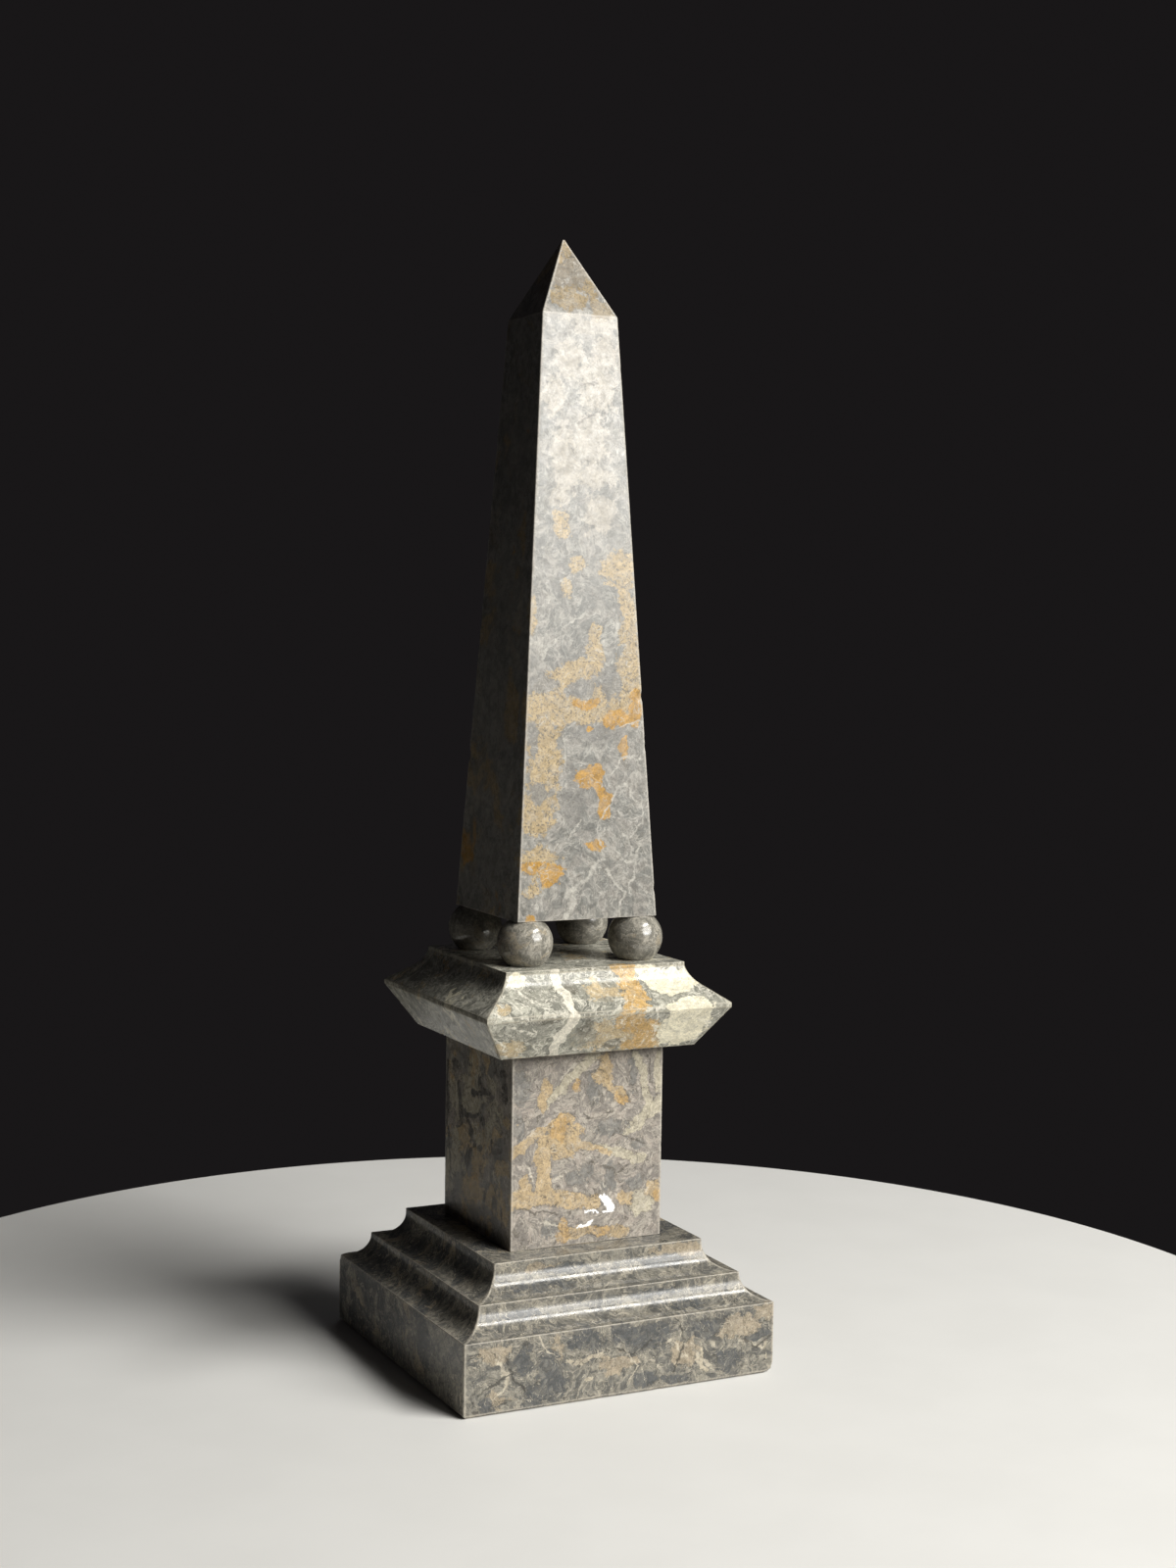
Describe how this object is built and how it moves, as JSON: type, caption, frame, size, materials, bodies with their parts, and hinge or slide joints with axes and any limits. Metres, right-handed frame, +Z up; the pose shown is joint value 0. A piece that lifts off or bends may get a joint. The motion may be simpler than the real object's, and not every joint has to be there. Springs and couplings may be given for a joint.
{
  "type": "desk obelisk",
  "caption": "Small polished marble obelisk: a tapered shaft with a pyramid tip on stone balls, over a moulded cap, a square die and a stepped base.",
  "frame": {"origin": "middle of the base's flat underside", "axes": "+Z up the obelisk to the tip of the shaft; -Y is the front face, +X the right-hand face; all four sides have the same outline"},
  "size_m": [0.15, 0.15, 0.502],
  "materials": {
    "base_marble": "gloss",
    "die_marble": "gloss",
    "cap_marble": "gloss",
    "ball_marble": "gloss",
    "shaft_marble": "gloss"
  },
  "bodies": {
    "root": {"base": "base_marble", "die": "die_marble", "cap": "cap_marble", "ball_front_left": "ball_marble", "ball_front_right": "ball_marble", "ball_back_left": "ball_marble", "ball_back_right": "ball_marble", "shaft": "shaft_marble"}
  },
  "joints": []
}
